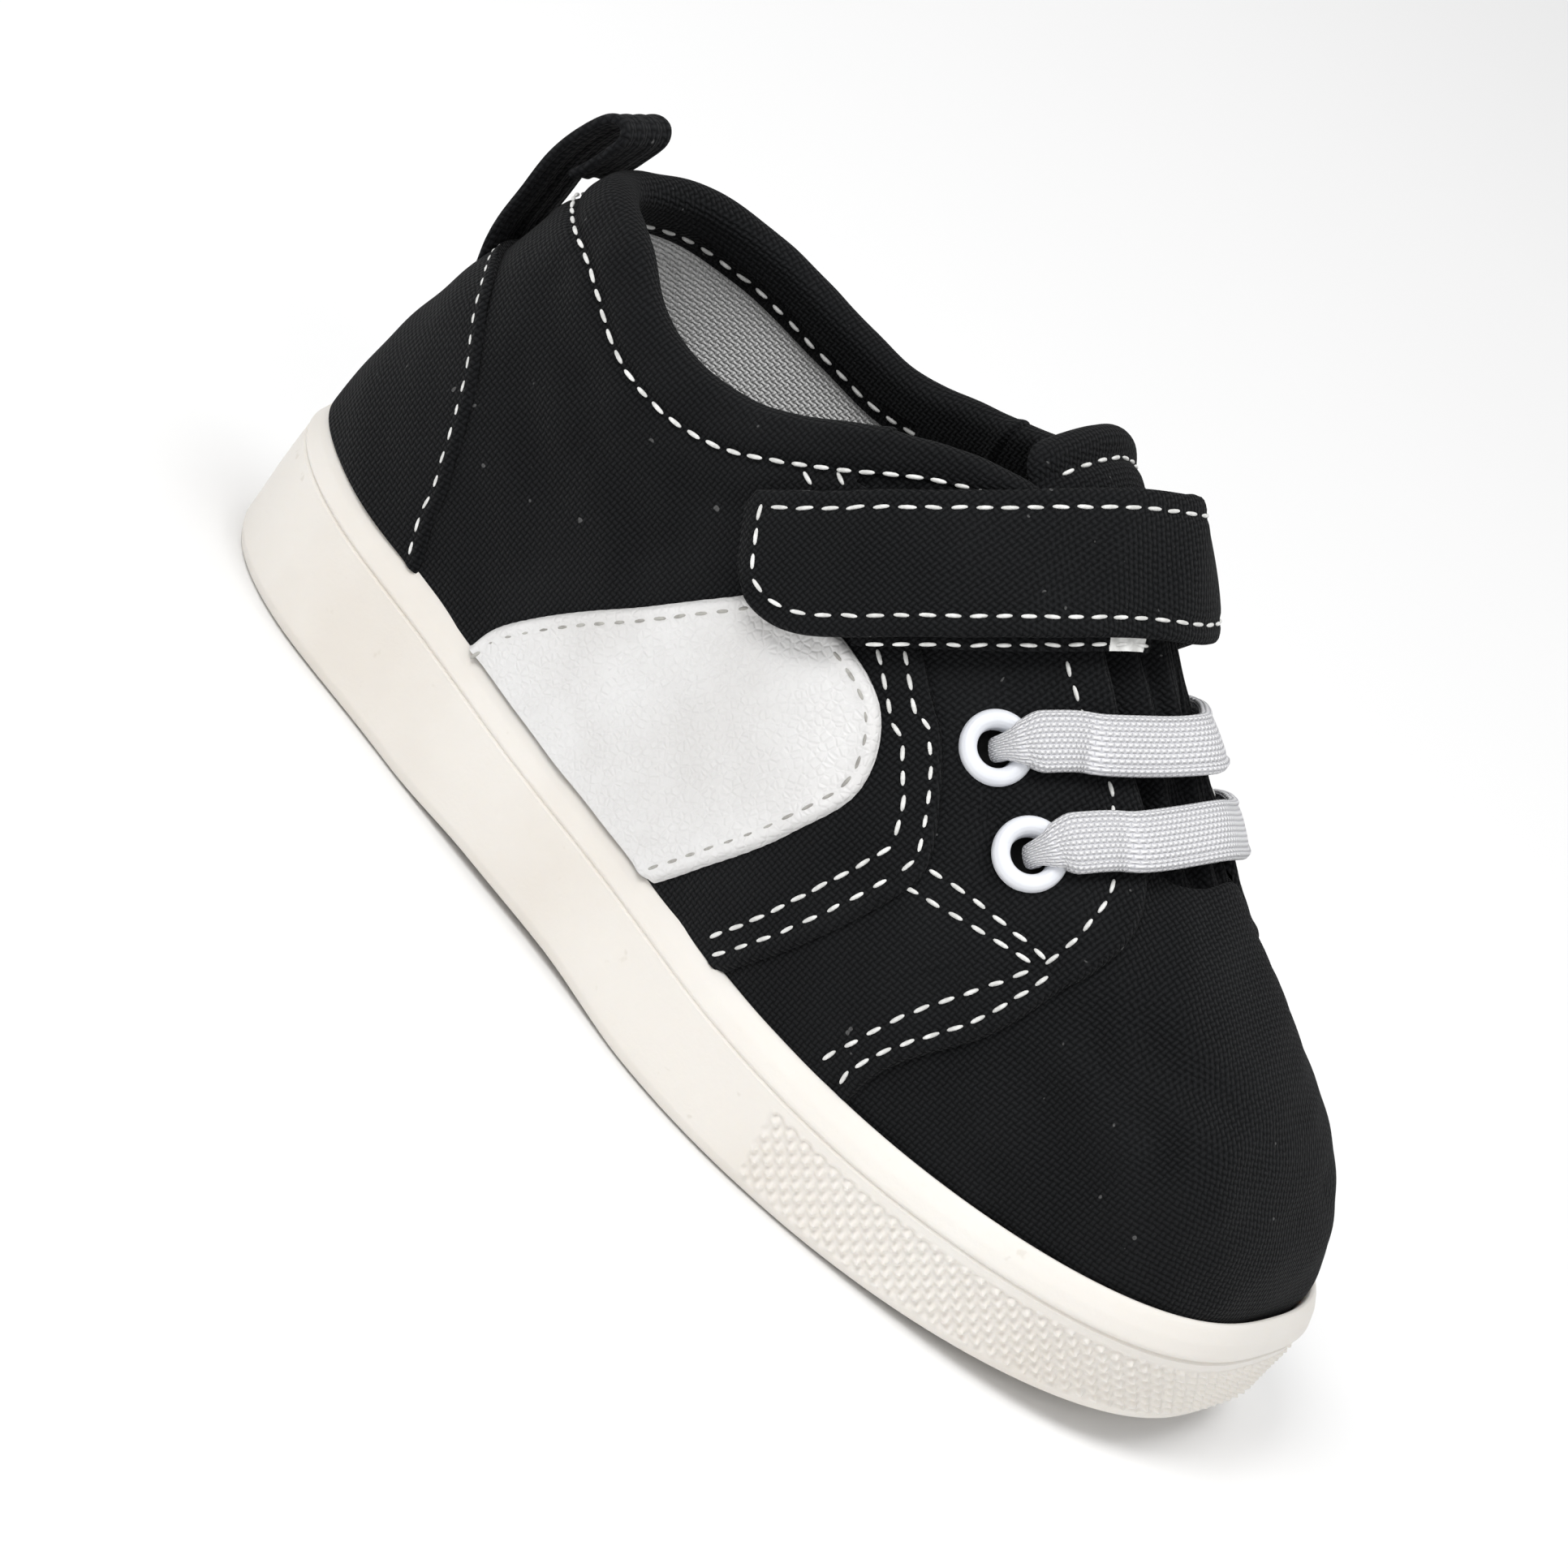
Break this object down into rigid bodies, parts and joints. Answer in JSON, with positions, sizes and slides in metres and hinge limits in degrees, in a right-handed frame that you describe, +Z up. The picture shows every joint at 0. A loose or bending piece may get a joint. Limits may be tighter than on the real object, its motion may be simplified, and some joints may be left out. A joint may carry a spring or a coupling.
{
  "type": "tennis shoe",
  "caption": "Toddler's low canvas tennis shoe with a moulded cup sole, a hook-and-loop strap over the instep, flat elastic laces in round eyelets and a heel pull loop.",
  "frame": {"origin": "on the ground under the middle of the shoe's bounding box", "axes": "+X to the toe, +Y to the medial side of this right shoe, +Z up"},
  "size_m": [0.156, 0.0744, 0.0827],
  "materials": {
    "sole_rubber": "moulded, satin",
    "canvas": "black woven canvas, grey mesh lining",
    "insole_foam": "matt",
    "tongue_canvas": "black woven canvas",
    "strap_canvas": "black woven canvas",
    "webbing": "black webbing",
    "lace_elastic": "white knitted elastic",
    "eyelet_plastic": "satin"
  },
  "bodies": {
    "root": {"cup_sole": "sole_rubber", "upper": "canvas", "insole": "insole_foam", "tongue": "tongue_canvas", "strap": "strap_canvas", "pull_loop": "webbing", "lace_lower": "lace_elastic", "lace_upper": "lace_elastic", "eyelet_lateral_1": "eyelet_plastic", "eyelet_lateral_2": "eyelet_plastic", "eyelet_medial_1": "eyelet_plastic", "eyelet_medial_2": "eyelet_plastic"}
  },
  "joints": []
}
